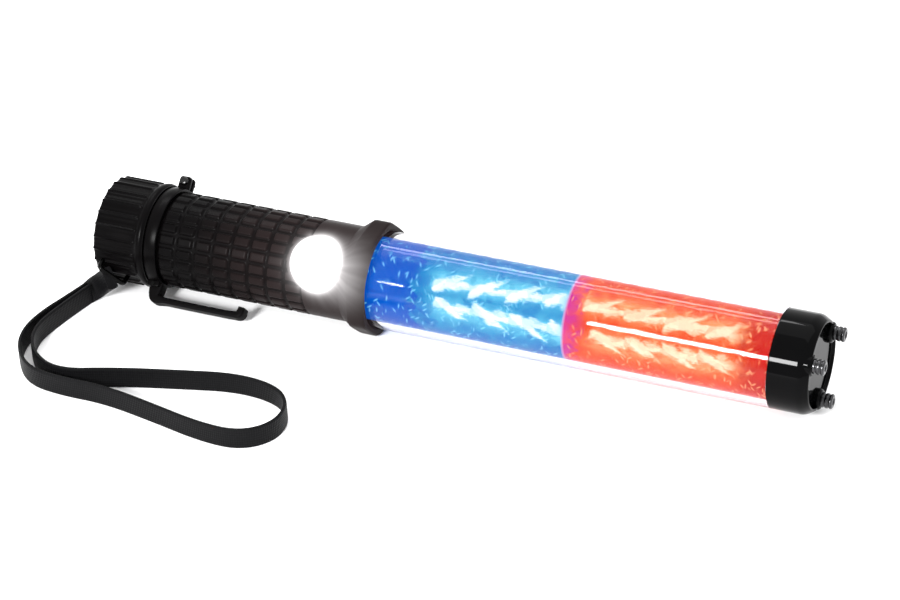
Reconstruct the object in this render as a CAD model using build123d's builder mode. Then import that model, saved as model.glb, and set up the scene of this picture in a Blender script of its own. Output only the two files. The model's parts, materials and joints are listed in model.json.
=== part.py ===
"""Signal flashlight: a round handle with a side light, an octagonal collar and a two-colour tube.

The long axis is X, from the screw-on tail cap at -X to the steel studs at +X, with +Z up and
the side light towards -Y.  The origin is the centre of the collar's bottom flat, on which the
flashlight lies.  All sizes are millimetres.  Threads are plain cylinders at their pitch size.
"""
from build123d import *
import math
import os

os.makedirs("parts", exist_ok=True)

# ---------------------------------------------------------------- driving dimensions
cell_radius = 7.1
cell_length = 49.2
cell_nub_radius = 2.7
cell_nub_length = 1.2
cell_gap = 0.3                    # between neighbouring cells
cell_wall_room = 1.33             # from the cells to the handle's bore
disc_thickness = 1.6
holder_setback = 1.4

handle_length = 81.7              # grip, from the collar's flare back to the clip ring
thread_wall = 1.7                 # the threaded neck's wall, at the pitch size
ring_seat_step = 0.5              # from the threaded neck out to the clip ring's seat
grip_step = 0.8                   # from the ring's seat out to the grip
groove_depth = 0.8
groove_width = 1.3
pad_pitch = 8.2
seal_section_radius = 0.65
seal_squeeze = 0.05
seal_setback = 2.0

ring_width = 5.4
ring_wall = 2.2

tail_cap_length = 23.0
tail_cap_wall = 3.5
tail_cap_end_wall = 2.4
tail_cap_rim_fillet = 1.6
tail_cap_rib_count = 25
tail_cap_rib_width = 2.2
tail_cap_rib_depth = 0.7
tail_cap_rib_setback = 3.0        # plain length at the cap's closed end
tail_cap_bead_length = 2.4        # plain length at the cap's open end
thread_end_gap = 2.3              # from the end of the neck to the floor of the tail cap

tube_radius = 20.0
tube_wall = 2.7
blue_length = 83.4                # from the collar's front face to the colour change
red_length = 84.4                 # from the colour change to the end cap
liner_wall = 0.8
lamp_board_thickness = 1.6
lamp_board_side_gap = 3.4
lamp_pitch = 19.0
lamp_end_gap = 9.5
lamp_edge_gap = 5.5
lamp_size = 5.0

collar_rim = 2.5                  # from the tube out to each of the eight flats
collar_width = 9.2
collar_corner_fillet = 3.0
collar_edge_fillet = 0.9
collar_flare_length = 3.0
collar_spigot_length = 4.0
collar_spigot_wall = 2.0
collar_socket_depth = 6.4
collar_wire_hole = 9.0
collar_seal_length = 1.4
tube_root_step = 0.4              # the end of the tube that seats in the collar is this much smaller

end_cap_length = 15.8
end_cap_spigot_length = 8.0
end_cap_spigot_wall = 2.0
end_cap_wall = 7.6                # solid end that the studs are set in
end_cap_rim_fillet = 2.4
end_cap_recess = 1.4
end_cap_rim_width = 3.0
board_holder_thickness = 2.4

light_angle = 40.0                # above horizontal, on the -Y side
light_bezel_radius = 10.7
light_bezel_height = 2.4          # above the grip
light_bezel_wall = 1.6
light_lip = 0.8                   # how far the bezel reaches over the lens
light_lens_thickness = 1.5
light_reflector_depth = 8.0
light_collar_gap = 0.1
button_angle = 220.0              # opposite the side light
button_radius = 6.0
button_height = 1.4
button_travel = 1.0
button_collar_wall = 1.0

hook_angle = -40.0
hook_width = 6.0
hook_arm_thickness = 2.6
hook_leg_length = 6.4
hook_reach = 44.4
hook_gap = 6.2                    # from the grip to the arm
hook_tip_length = 4.6
clamp_angle = 137.0
clamp_screw_height = 2.7          # from the ring out to the clamp screw's axis
clamp_ear_height = 5.0
clamp_ear_thickness = 2.4
clamp_ear_gap = 1.2
rivet_radius = 0.7

stud_radius = 3.0
stud_shank_radius = 2.4
stud_shank_length = 6.0
stud_edge_gap = 4.8               # from the tube's outside to a stud's axis
stud_height = 5.2
stud_boss_height = 0.6
stud_angle = 34.0
stud_count = 3

bail_angle = -18.0
bail_setback = 9.0
bail_half_span = 6.2
bail_height = 3.0
bail_wire_radius = 1.0
strap_width = 9.0
strap_thickness = 1.5
strap_floor_gap = 0.3
sleeve_length = 4.6
sleeve_thickness = 4.8

fit_clearance = 0.1               # pieces that slide together and stay
running_clearance = 0.1           # a ring or cap that turns on its seat
free_clearance = 0.4              # parts that pass without touching

# ---------------------------------------------------------------- derived places
cell_circle = (2 * cell_radius + cell_gap) / math.sqrt(3)
handle_bore_radius = cell_circle + cell_radius + cell_wall_room
thread_radius = handle_bore_radius + thread_wall
ring_seat_radius = thread_radius + ring_seat_step
handle_radius = ring_seat_radius + grip_step
ring_radius = ring_seat_radius + ring_wall
tail_cap_radius = thread_radius + tail_cap_wall
collar_across_flats = 2 * (max(tube_radius, handle_radius) + collar_rim)
axis_height = collar_across_flats / 2

collar_back = -collar_width / 2
collar_front = collar_width / 2
handle_front = collar_back - collar_flare_length
grip_back = handle_front - handle_length
ring_front = grip_back - free_clearance / 4
ring_back = ring_front - ring_width
tail_cap_front = ring_back - free_clearance / 2
tail_cap_back = tail_cap_front - tail_cap_length
thread_back = tail_cap_back + tail_cap_end_wall + thread_end_gap
seal_x = thread_back + seal_setback
seal_centre_radius = thread_radius + seal_squeeze - seal_section_radius
tube_back = collar_front - collar_socket_depth
tube_inner = tube_radius - tube_wall
tube_root_radius = tube_radius - tube_root_step
tube_shoulder = collar_front + fit_clearance
liner_outer = tube_inner - fit_clearance
liner_inner = liner_outer - liner_wall
colour_change = collar_front + blue_length
tube_front = colour_change + red_length
end_cap_front = tube_front + end_cap_length
end_cap_spigot_radius = liner_inner - fit_clearance
lamp_board_front = tube_front - end_cap_spigot_length - board_holder_thickness
stud_circle = tube_radius - stud_edge_gap
chassis_radius = handle_bore_radius - fit_clearance
light_x = handle_front - light_bezel_radius - light_collar_gap
light_pocket_radius = light_bezel_radius - light_bezel_wall
light_lens_base = handle_radius - 0.5
hook_inner_radius = handle_radius + hook_gap
bail_x = tail_cap_back + bail_setback
bail_radius = tail_cap_radius + bail_height
strap_z = strap_floor_gap + strap_width / 2

AXIS = Axis((0, 0, axis_height), (1, 0, 0))
PROFILE = Plane(origin=(0, 0, axis_height), x_dir=(1, 0, 0), z_dir=(0, -1, 0))


def across(x):
    """Plane square to the axis at x: its own x runs to +Y and its own y runs up."""
    return Plane(origin=(x, 0, axis_height), x_dir=(0, 1, 0), z_dir=(1, 0, 0))


def outward(x, angle, radius):
    """Plane that faces away from the axis, at an angle above the -Y side."""
    turn = math.radians(angle)
    direction = Vector(0, -math.cos(turn), math.sin(turn))
    origin = Vector(x, 0, axis_height) + direction * radius
    return Plane(origin=origin, x_dir=(1, 0, 0), z_dir=direction)


def radial_slice(angle):
    """Plane through the axis whose own x is +X and whose own y points out at the angle."""
    turn = math.radians(angle)
    out = Vector(0, -math.cos(turn), math.sin(turn))
    return Plane(origin=(0, 0, axis_height), x_dir=(1, 0, 0), z_dir=Vector(1, 0, 0).cross(out))


def polar_angle(angle):
    """The angle above -Y, as a polar angle in the plane that across() gives."""
    return 180.0 - angle


def stage(x_start, x_end, outer, inner=0.0, mode=Mode.ADD):
    """A round or tubular length on the main axis, added to the part being built."""
    with BuildSketch(across(x_start)) as profile:
        Circle(outer)
        if inner > 0:
            Circle(inner, mode=Mode.SUBTRACT)
    extrude(profile.sketch, amount=x_end - x_start, mode=mode)


def save(part, name):
    part.label = name
    export_step(part, f"parts/{name}.step")


# ---------------------------------------------------------------- tail end
def make_tail_cap():
    inner = thread_radius + running_clearance
    with BuildPart() as tail_cap:
        stage(tail_cap_back, tail_cap_front, tail_cap_radius)
        stage(tail_cap_back + tail_cap_end_wall, tail_cap_front, inner, mode=Mode.SUBTRACT)
        rim = tail_cap.edges().filter_by(GeomType.CIRCLE).group_by(Axis.X)[0]
        fillet(rim, tail_cap_rim_fillet)
        with BuildSketch(across(tail_cap_back + tail_cap_rib_setback)):
            with PolarLocations(tail_cap_radius, tail_cap_rib_count):
                Rectangle(2 * tail_cap_rib_depth, tail_cap_rib_width)
        extrude(amount=tail_cap_length - tail_cap_rib_setback - tail_cap_bead_length,
                mode=Mode.SUBTRACT)
    save(tail_cap.part, "tail_cap")

    with BuildPart() as tail_cap_oring:
        with BuildSketch(PROFILE):
            with Locations((seal_x, seal_centre_radius)):
                Circle(seal_section_radius)
        revolve(axis=AXIS)
    save(tail_cap_oring.part, "tail_cap_oring")


def make_tail_contact():
    plate_x = tail_cap_back + tail_cap_end_wall
    plate_radius = 12.0
    plate_thickness = 0.6
    with BuildPart() as tail_contact_plate:
        stage(plate_x, plate_x + plate_thickness, plate_radius)
    save(tail_contact_plate.part, "tail_contact_plate")

    wire = 0.6
    turns = 3
    spring_start = plate_x + plate_thickness
    spring_length = thread_back + holder_setback - spring_start
    with BuildPart() as tail_spring:
        for turn in range(turns):
            coil_x = spring_start + wire + turn * (spring_length - 2 * wire) / (turns - 1)
            with BuildSketch(PROFILE):
                with Locations((coil_x, 5.4 - 0.5 * turn)):
                    Circle(wire)
            revolve(axis=AXIS)
        stage(spring_start, spring_start + spring_length, 5.3, 4.1)
    save(tail_spring.part, "tail_spring")


def bail_frame():
    """The bail's middle, its bar's direction, and the way from the sewn sleeve to the bar."""
    out = outward(bail_x, bail_angle, 0.0).z_dir
    middle = Vector(bail_x, 0, axis_height) + out * bail_radius
    towards = (middle - sleeve_back()).normalized()
    return middle, out.cross(towards).normalized(), towards


def make_strap_bail():
    """A small steel staple on the tail cap's front side that the strap hangs from."""
    foot = tail_cap_radius - tail_cap_rib_depth - 2 * bail_wire_radius
    out = outward(bail_x, bail_angle, 0.0).z_dir
    bar = bail_frame()[1]
    staple = Plane(origin=(bail_x, 0, axis_height), x_dir=bar, z_dir=bar.cross(out))
    with BuildPart() as strap_bail:
        with BuildLine(staple):
            path = FilletPolyline(
                (-bail_half_span, foot),
                (-bail_half_span, bail_radius),
                (bail_half_span, bail_radius),
                (bail_half_span, foot),
                radius=1.6 * bail_wire_radius,
            )
        with BuildSketch(Plane(origin=path @ 0, z_dir=path % 0)):
            Circle(bail_wire_radius)
        sweep(path=path)
    return strap_bail.part


# ---------------------------------------------------------------- handle
def make_handle():
    seat_back = ring_back - free_clearance / 2
    grip_front = light_x - light_bezel_radius - 1.0
    pad_columns = int((grip_front - grip_back - pad_pitch / 2) / pad_pitch) + 1
    with BuildPart() as handle_body:
        stage(grip_back, handle_front, handle_radius)
        for column in range(pad_columns):
            groove_front = grip_front - column * pad_pitch
            stage(groove_front - groove_width, groove_front, handle_radius + 1,
                  handle_radius - groove_depth, mode=Mode.SUBTRACT)
        stage(seat_back, grip_back, ring_seat_radius)
        stage(thread_back, seat_back, thread_radius)
        stage(thread_back, handle_front, handle_bore_radius, mode=Mode.SUBTRACT)
        with BuildSketch(PROFILE):
            with Locations((seal_x, seal_centre_radius)):
                Circle(seal_section_radius)
        revolve(axis=AXIS, mode=Mode.SUBTRACT)
        with BuildSketch(outward(light_x, light_angle, 1.0)):
            Circle(light_pocket_radius)
        extrude(amount=handle_radius + 5, mode=Mode.SUBTRACT)
        with BuildSketch(outward(light_x, button_angle, 1.0)):
            Circle(button_radius + free_clearance + button_collar_wall)
        extrude(amount=handle_radius + 5, mode=Mode.SUBTRACT)
    save(handle_body.part, "handle_body")


def make_clip():
    """The turning ring with its clamp ears, the belt hook, its rivet, and the clamp screw."""
    bore = ring_seat_radius + running_clearance
    ring_middle = (ring_front + ring_back) / 2
    ear_out = ring_radius + clamp_ear_height
    screw_radius = 1.0
    socket_floor = bore + 1.2
    pad_height = 1.6
    pad_out = ring_radius + pad_height
    rivet_out = socket_floor + 1.2
    with BuildPart() as clip_ring:
        stage(ring_back, ring_front, ring_radius)
        with BuildSketch(outward(ring_middle, clamp_angle, 0)):
            Rectangle(ring_width, 2 * clamp_ear_thickness + clamp_ear_gap)
        extrude(amount=ear_out)
        with BuildSketch(outward(ring_middle, hook_angle, 0)):
            Rectangle(ring_width, hook_width + 3.0)
        extrude(amount=pad_out)
        with BuildSketch(outward(ring_middle, hook_angle, socket_floor)):
            Rectangle(ring_width + 1, hook_width + 2 * fit_clearance)
        extrude(amount=pad_height + 4, mode=Mode.SUBTRACT)
        stage(ring_back - 1, ring_front + 1, bore, mode=Mode.SUBTRACT)
        with BuildSketch(outward(ring_middle, clamp_angle, 0)):
            Rectangle(ring_width + 1, clamp_ear_gap)
        extrude(amount=ear_out + 1, mode=Mode.SUBTRACT)
        ear_plane = outward(ring_middle, clamp_angle, ring_radius + clamp_screw_height)
        cross = Plane(origin=ear_plane.origin, x_dir=(1, 0, 0), z_dir=ear_plane.y_dir)
        with BuildSketch(cross):
            Circle(screw_radius + fit_clearance)
        extrude(amount=10, both=True, mode=Mode.SUBTRACT)
        tangent = ear_plane.y_dir
        rivet_at = outward(ring_middle, hook_angle, rivet_out)
        rivet_plane = Plane(origin=rivet_at.origin, x_dir=(1, 0, 0), z_dir=rivet_at.y_dir)
        with BuildSketch(rivet_plane):
            Circle(rivet_radius)
        extrude(amount=hook_width, both=True, mode=Mode.SUBTRACT)
    save(clip_ring.part, "clip_ring")

    head_side = clamp_ear_thickness + clamp_ear_gap / 2
    head_plane = Plane(origin=ear_plane.origin - tangent * (head_side + 1.6), x_dir=(1, 0, 0),
                       z_dir=tangent)
    with BuildPart() as clamp_screw:
        with BuildSketch(head_plane):
            Circle(1.9)
        extrude(amount=1.6)
        with BuildSketch(head_plane):
            Circle(screw_radius)
        extrude(amount=1.6 + 2 * head_side + 1.7)
        with BuildSketch(head_plane):
            RegularPolygon(0.9, 6)
        extrude(amount=0.9, mode=Mode.SUBTRACT)
    save(clamp_screw.part, "clamp_screw")

    nut_plane = Plane(origin=ear_plane.origin + tangent * head_side, x_dir=(1, 0, 0),
                      z_dir=tangent)
    with BuildPart() as clamp_nut:
        with BuildSketch(nut_plane):
            RegularPolygon(2.2, 6)
            Circle(screw_radius, mode=Mode.SUBTRACT)
        extrude(amount=1.5)
    save(clamp_nut.part, "clamp_nut")

    foot = socket_floor + fit_clearance
    leg_back = ring_back + 0.2
    leg_front = leg_back + hook_leg_length
    arm_outer = hook_inner_radius + hook_arm_thickness
    tip = leg_back + hook_reach
    with BuildPart() as belt_hook:
        with BuildSketch(radial_slice(hook_angle)):
            with BuildLine():
                Polyline(
                    (leg_back, foot),
                    (leg_back, arm_outer - 2.4),
                    (leg_back + 4.4, arm_outer),
                    (tip - 2.0, arm_outer),
                    (tip, arm_outer - 1.6),
                    (tip, arm_outer - 1.6 - hook_tip_length),
                    (tip - 2.6, arm_outer - 1.6 - hook_tip_length),
                    (tip - 4.6, hook_inner_radius),
                    (leg_front + 1.4, hook_inner_radius),
                    (leg_front, hook_inner_radius - 1.6),
                    (ring_front, pad_out + 0.2),
                    (ring_front, foot),
                    close=True,
                )
            make_face()
        extrude(amount=hook_width / 2, both=True)
        edges = belt_hook.edges().filter_by(lambda e: abs((e % 0.5).X) > 0.9 and e.length > 20)
        fillet(edges, 0.8)
        with BuildSketch(rivet_plane):
            Circle(rivet_radius)
        extrude(amount=hook_width, both=True, mode=Mode.SUBTRACT)
    save(belt_hook.part, "belt_hook")

    rivet_start = rivet_plane.origin - rivet_plane.z_dir * (hook_width / 2 + 1.9)
    with BuildPart() as hook_rivet:
        with BuildSketch(Plane(origin=rivet_start, x_dir=(1, 0, 0), z_dir=rivet_plane.z_dir)):
            Circle(rivet_radius)
        extrude(amount=hook_width + 3.8)
    save(hook_rivet.part, "hook_rivet")


# ---------------------------------------------------------------- batteries
def make_battery_pack():
    frame_back = thread_back + holder_setback
    disc_radius = handle_bore_radius - free_clearance
    cells_back = frame_back + disc_thickness + cell_nub_length
    cells_front = cells_back + cell_length
    frame_front = cells_front + cell_nub_length + disc_thickness
    cell_angles = [polar_angle(light_angle) + 120 * count for count in range(3)]
    cell_places = [
        (cell_circle * math.cos(math.radians(a)), cell_circle * math.sin(math.radians(a)))
        for a in cell_angles
    ]
    with BuildPart() as battery_holder:
        stage(frame_back, frame_back + disc_thickness, disc_radius)
        stage(frame_front - disc_thickness, frame_front, disc_radius)
        with BuildSketch(across(frame_back)):
            Circle(disc_radius)
            with Locations(cell_places):
                Circle(cell_radius + 0.12, mode=Mode.SUBTRACT)
            with PolarLocations(disc_radius, 3, start_angle=cell_angles[0]):
                Rectangle(7.4, 14.0, mode=Mode.SUBTRACT)
        extrude(amount=frame_front - frame_back)
    save(battery_holder.part, "battery_holder")

    with BuildPart() as holder_contacts:
        for x_start in (frame_back + disc_thickness, cells_front + cell_nub_length - 0.4):
            with BuildSketch(across(x_start)):
                with Locations(cell_places):
                    Circle(4.2)
            extrude(amount=0.4)
    save(holder_contacts.part, "holder_contacts")

    for number, place in enumerate(cell_places, start=1):
        with BuildPart() as cell:
            with BuildSketch(across(cells_back)):
                with Locations(place):
                    Circle(cell_radius)
            extrude(amount=cell_length)
            fillet(cell.edges().filter_by(GeomType.CIRCLE), 0.5)
            with BuildSketch(across(cells_front)):
                with Locations(place):
                    Circle(cell_nub_radius)
            extrude(amount=cell_nub_length - 0.4)
        save(cell.part, f"battery_cell_{number}")
    return frame_front


# ---------------------------------------------------------------- side light, switch and board
def make_inner_chassis(frame_front):
    chassis_back = frame_front + 3.0
    chassis_front = handle_front - collar_spigot_length
    disc = 2.0
    shelf = 2.0
    with BuildPart() as inner_chassis:
        stage(chassis_back, chassis_back + disc, chassis_radius, 2.4)
        shelf_centre = (chassis_back + disc + chassis_front) / 2
        with BuildSketch(outward(shelf_centre, light_angle, -shelf - 1.0)):
            with Locations((0, -3.0)):
                Rectangle(chassis_front - chassis_back - disc, 16.0)
        extrude(amount=shelf)
    save(inner_chassis.part, "inner_chassis")

    with BuildPart() as front_contact:
        stage(frame_front, chassis_back + disc, 2.2)
    save(front_contact.part, "front_contact")

    board_length = chassis_front - chassis_back - disc
    board_centre = chassis_front - board_length / 2
    board_base = 8.4
    board_thickness = 1.2
    with BuildPart() as circuit_board:
        with BuildSketch(outward(board_centre, button_angle, board_base)):
            Rectangle(board_length, 16.0)
        extrude(amount=board_thickness)
    save(circuit_board.part, "circuit_board")

    with BuildPart() as board_components:
        chip_out = board_length / 2 - 3.0
        with BuildSketch(outward(board_centre, button_angle, board_base)):
            with Locations((-chip_out, -3), (-chip_out, 4), (chip_out, 0)):
                Rectangle(4.0, 3.6)
        extrude(amount=-1.5)
    save(board_components.part, "board_components")

    switch_base = board_base + board_thickness
    switch_height = 3.4
    plunger_height = 0.7
    with BuildPart() as tact_switch:
        with BuildSketch(outward(light_x, button_angle, switch_base)):
            Rectangle(6.0, 6.0)
        extrude(amount=switch_height)
        with BuildSketch(outward(light_x, button_angle, switch_base + switch_height)):
            Circle(1.7)
        extrude(amount=plunger_height)
    save(tact_switch.part, "tact_switch")

    switch_top = switch_base + switch_height + plunger_height
    with BuildPart() as mode_button:
        with BuildSketch(outward(light_x, button_angle, switch_top + button_travel)):
            Circle(button_radius)
        extrude(amount=handle_radius + button_height - switch_top - button_travel)
        outer_rim = mode_button.edges().filter_by(GeomType.CIRCLE).sort_by(Axis.Z)[0]
        fillet(outer_rim, 1.0)
    save(mode_button.part, "mode_button")

    with BuildPart() as button_collar:
        with BuildSketch(outward(light_x, button_angle, handle_bore_radius - 0.6)):
            Circle(button_radius + free_clearance + button_collar_wall - fit_clearance)
            Circle(button_radius + free_clearance, mode=Mode.SUBTRACT)
        extrude(amount=handle_radius - handle_bore_radius + 1.2)
    save(button_collar.part, "button_collar")


def make_side_light():
    lens_front = light_lens_base + light_lens_thickness
    bezel_front = handle_radius + light_bezel_height
    with BuildPart() as side_light_bezel:
        with BuildSketch(outward(light_x, light_angle, handle_bore_radius)):
            Circle(light_bezel_radius)
        extrude(amount=bezel_front - handle_bore_radius)
        rim = side_light_bezel.edges().filter_by(GeomType.CIRCLE).sort_by(Axis.Z)[-1]
        fillet(rim, 1.0)
        with BuildSketch(outward(light_x, light_angle, lens_front)):
            Circle(light_pocket_radius - light_lip)
        extrude(amount=light_bezel_height, mode=Mode.SUBTRACT)
        with BuildSketch(outward(light_x, light_angle, lens_front)):
            Circle(light_pocket_radius)
        extrude(amount=handle_bore_radius - lens_front - 1, mode=Mode.SUBTRACT)
        stage(light_x - 2 * light_bezel_radius, light_x + 2 * light_bezel_radius,
              handle_radius + 0.02, mode=Mode.SUBTRACT)
    save(side_light_bezel.part, "side_light_bezel")

    with BuildPart() as side_light_lens:
        with BuildSketch(outward(light_x, light_angle, light_lens_base)):
            Circle(light_pocket_radius - fit_clearance)
        extrude(amount=light_lens_thickness)
    save(side_light_lens.part, "side_light_lens")

    board_top = light_lens_base - light_reflector_depth
    board_thickness = 1.6
    with BuildPart() as side_light_reflector:
        with BuildSketch(outward(light_x, light_angle, board_top)):
            Circle(4.4)
        with BuildSketch(outward(light_x, light_angle, light_lens_base)):
            Circle(light_pocket_radius - fit_clearance)
        loft()
        with BuildSketch(outward(light_x, light_angle, board_top)):
            Circle(3.2)
        with BuildSketch(outward(light_x, light_angle, light_lens_base)):
            Circle(light_pocket_radius - 1.3)
        loft(mode=Mode.SUBTRACT)
    save(side_light_reflector.part, "side_light_reflector")

    with BuildPart() as side_led_board:
        with BuildSketch(outward(light_x, light_angle, board_top - board_thickness)):
            Circle(light_pocket_radius - 1.1)
        extrude(amount=board_thickness)
    save(side_led_board.part, "side_led_board")

    with BuildPart() as side_led:
        with BuildSketch(outward(light_x, light_angle, board_top)):
            Rectangle(3.4, 3.4)
        extrude(amount=0.8)
        with BuildSketch(outward(light_x, light_angle, board_top + 0.8)):
            Circle(1.5)
        extrude(amount=1.1)
    save(side_led.part, "side_led")

    sink_radius = 6.4
    sink_base = -1.0
    fin_gap = 1.0
    with BuildPart() as heat_sink:
        with BuildSketch(outward(light_x, light_angle, sink_base)):
            Circle(sink_radius)
        extrude(amount=board_top - board_thickness - sink_base)
        for gap_base in (3.0, 6.0):
            with BuildSketch(outward(light_x, light_angle, gap_base)):
                Circle(sink_radius)
                Circle(sink_radius - 1.6, mode=Mode.SUBTRACT)
            extrude(amount=fin_gap, mode=Mode.SUBTRACT)
    save(heat_sink.part, "heat_sink")


# ---------------------------------------------------------------- collar and signal tube
def make_collar():
    apothem = collar_across_flats / 2
    corner = apothem / math.cos(math.pi / 8)
    spigot_inner = chassis_radius - collar_spigot_wall
    spigot_back = handle_front - collar_spigot_length
    seal_back = tube_back - collar_seal_length
    with BuildPart() as collar:
        with BuildSketch(across(collar_back)):
            RegularPolygon(corner, 8, rotation=22.5)
        extrude(amount=collar_width)
        standing = collar.edges().filter_by(Axis.X)
        fillet(standing, collar_corner_fillet)
        rims = collar.faces().filter_by(Axis.X).edges()
        fillet(rims, collar_edge_fillet)
        with BuildSketch(across(handle_front)):
            Circle(handle_radius + fit_clearance)
        with BuildSketch(across(collar_back + collar_edge_fillet)):
            Circle(apothem - collar_edge_fillet)
        loft()
        stage(spigot_back, handle_front, chassis_radius)
        stage(spigot_back - 1, collar_back, spigot_inner, mode=Mode.SUBTRACT)
        stage(collar_back - 1, tube_back + 1, collar_wire_hole, mode=Mode.SUBTRACT)
        stage(tube_back, collar_front + 1, tube_root_radius + fit_clearance, mode=Mode.SUBTRACT)
        stage(seal_back, tube_back + fit_clearance, tube_inner + 1.0, collar_wire_hole,
              mode=Mode.SUBTRACT)
        with BuildSketch(outward(light_x, light_angle, 6.0)):
            Circle(light_pocket_radius + free_clearance)
        extrude(amount=handle_bore_radius - 6.0 + free_clearance, mode=Mode.SUBTRACT)
        with BuildSketch(outward(light_x, button_angle, 6.0)):
            Circle(button_radius + button_collar_wall + 2 * free_clearance)
        extrude(amount=handle_bore_radius - 6.0 + free_clearance, mode=Mode.SUBTRACT)
    save(collar.part, "collar")

    with BuildPart() as collar_seal:
        stage(seal_back, tube_back, tube_inner + 0.9, liner_inner - 0.7)
    save(collar_seal.part, "collar_seal")


def make_signal_tube():
    with BuildPart() as signal_tube:
        stage(tube_back, tube_shoulder, tube_root_radius, tube_inner)
        stage(tube_shoulder, tube_front, tube_radius, tube_inner)
    save(signal_tube.part, "signal_tube")

    with BuildPart() as blue_liner:
        stage(tube_back, colour_change, liner_outer, liner_inner)
    save(blue_liner.part, "blue_liner")

    with BuildPart() as red_liner:
        stage(colour_change, tube_front, liner_outer, liner_inner)
    save(red_liner.part, "red_liner")


def make_lamps():
    """The board down the middle of the tube, and two rows of lamps on each of its faces."""
    board_width = 2 * (liner_inner - lamp_board_side_gap)
    board_back = tube_back - 2.0
    board_length = lamp_board_front - board_back
    half_thickness = lamp_board_thickness / 2
    with BuildPart() as lamp_board:
        with BuildSketch(outward(board_back + board_length / 2, light_angle, -half_thickness)):
            Rectangle(board_length, board_width)
            with Locations((-board_length / 2, -board_width / 2),
                           (-board_length / 2, board_width / 2)):
                Rectangle(8.0, 12.0, mode=Mode.SUBTRACT)
        extrude(amount=lamp_board_thickness)
    save(lamp_board.part, "lamp_board")

    body_height = 1.4
    row_gap = board_width - 2 * lamp_edge_gap
    for name, back, front in (("blue_lamps", tube_back, colour_change),
                              ("red_lamps", colour_change, lamp_board_front)):
        count = 1 + int((front - back - 2 * lamp_end_gap) / lamp_pitch)
        with BuildPart() as lamps:
            for side in (light_angle, light_angle + 180):
                with BuildSketch(outward((back + front) / 2, side, half_thickness)):
                    with GridLocations(lamp_pitch, row_gap, count, 2):
                        Rectangle(lamp_size, lamp_size)
                extrude(amount=body_height)
                with BuildSketch(outward((back + front) / 2, side, half_thickness + body_height)):
                    with GridLocations(lamp_pitch, row_gap, count, 2):
                        Circle(0.38 * lamp_size)
                extrude(amount=0.7)
        save(lamps.part, name)


def stud_places():
    """Places round the end cap's face, for studs, their bosses and their holes."""
    return PolarLocations(stud_circle, stud_count, start_angle=polar_angle(stud_angle))


def make_end_cap():
    spigot_back = tube_front - end_cap_spigot_length
    recess_floor = end_cap_front - end_cap_recess
    shank_back = end_cap_front - stud_shank_length
    with BuildPart() as end_cap:
        stage(tube_front, end_cap_front, tube_radius)
        rim = end_cap.edges().filter_by(GeomType.CIRCLE).group_by(Axis.X)[-1]
        fillet(rim, end_cap_rim_fillet)
        stage(recess_floor, end_cap_front + 1, tube_radius - end_cap_rim_width,
              mode=Mode.SUBTRACT)
        with BuildSketch(across(recess_floor)):
            with stud_places():
                Circle(stud_radius + 1.3)
        extrude(amount=end_cap_recess + stud_boss_height)
        stage(spigot_back, tube_front, end_cap_spigot_radius)
        stage(spigot_back - 1, recess_floor - end_cap_wall,
              end_cap_spigot_radius - end_cap_spigot_wall, mode=Mode.SUBTRACT)
        with BuildSketch(across(shank_back)):
            with stud_places():
                Circle(stud_shank_radius)
        extrude(amount=stud_shank_length + 2, mode=Mode.SUBTRACT)
    save(end_cap.part, "end_cap")

    with BuildPart() as breaker_studs:
        with BuildSketch(across(shank_back)):
            with stud_places():
                Circle(stud_shank_radius)
        extrude(amount=stud_shank_length + stud_boss_height)
        with BuildSketch(across(end_cap_front + stud_boss_height)):
            with stud_places():
                Circle(stud_radius)
        extrude(amount=stud_height - stud_boss_height)
        tips = breaker_studs.edges().filter_by(GeomType.CIRCLE).group_by(Axis.X)[-1]
        chamfer(tips, 0.7)
    save(breaker_studs.part, "breaker_studs")

    with BuildPart() as board_holder:
        stage(lamp_board_front, spigot_back, end_cap_spigot_radius, 4.0)
    save(board_holder.part, "board_holder")


# ---------------------------------------------------------------- wrist strap
strap_route = [
    (-121.0, -24.0),
    (-124.4, -36.0),
    (-128.6, -49.0),
    (-129.8, -62.0),
    (-126.0, -74.0),
    (-115.5, -85.5),
    (-100.0, -88.0),
    (-80.0, -87.4),
    (-56.0, -92.0),
    (-34.0, -97.0),
    (-16.0, -97.6),
    (-5.4, -88.0),
    (-5.0, -74.5),
    (-14.0, -65.0),
    (-33.0, -62.6),
    (-56.0, -68.4),
    (-82.0, -75.4),
    (-103.0, -83.6),
    (-118.0, -76.0),
    (-126.0, -62.0),
    (-124.6, -46.0),
    (-119.0, -24.6),
]


def strap_heading():
    """The direction in which the strap leaves its sewn sleeve."""
    return (Vector(*strap_route[1]) - Vector(*strap_route[0])).normalized()


def sleeve_front():
    """The middle of the sleeve's open end, just over the strap's two ends."""
    middle = (Vector(*strap_route[0]) + Vector(*strap_route[-1])) / 2
    return Vector(middle.X, middle.Y, strap_z) + strap_heading() * 0.15


def sleeve_back():
    return sleeve_front() - strap_heading() * sleeve_length


def corner_radii(points):
    """The largest arc for each corner: 0.45 of its shorter run over tan of half its turn."""
    radii = []
    for before, here, after in zip(points, points[1:], points[2:]):
        first = Vector(*here) - Vector(*before)
        second = Vector(*after) - Vector(*here)
        half_turn = math.radians(first.get_angle(second)) / 2
        radii.append(0.45 * min(first.length, second.length) / math.tan(half_turn))
    return radii


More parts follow.
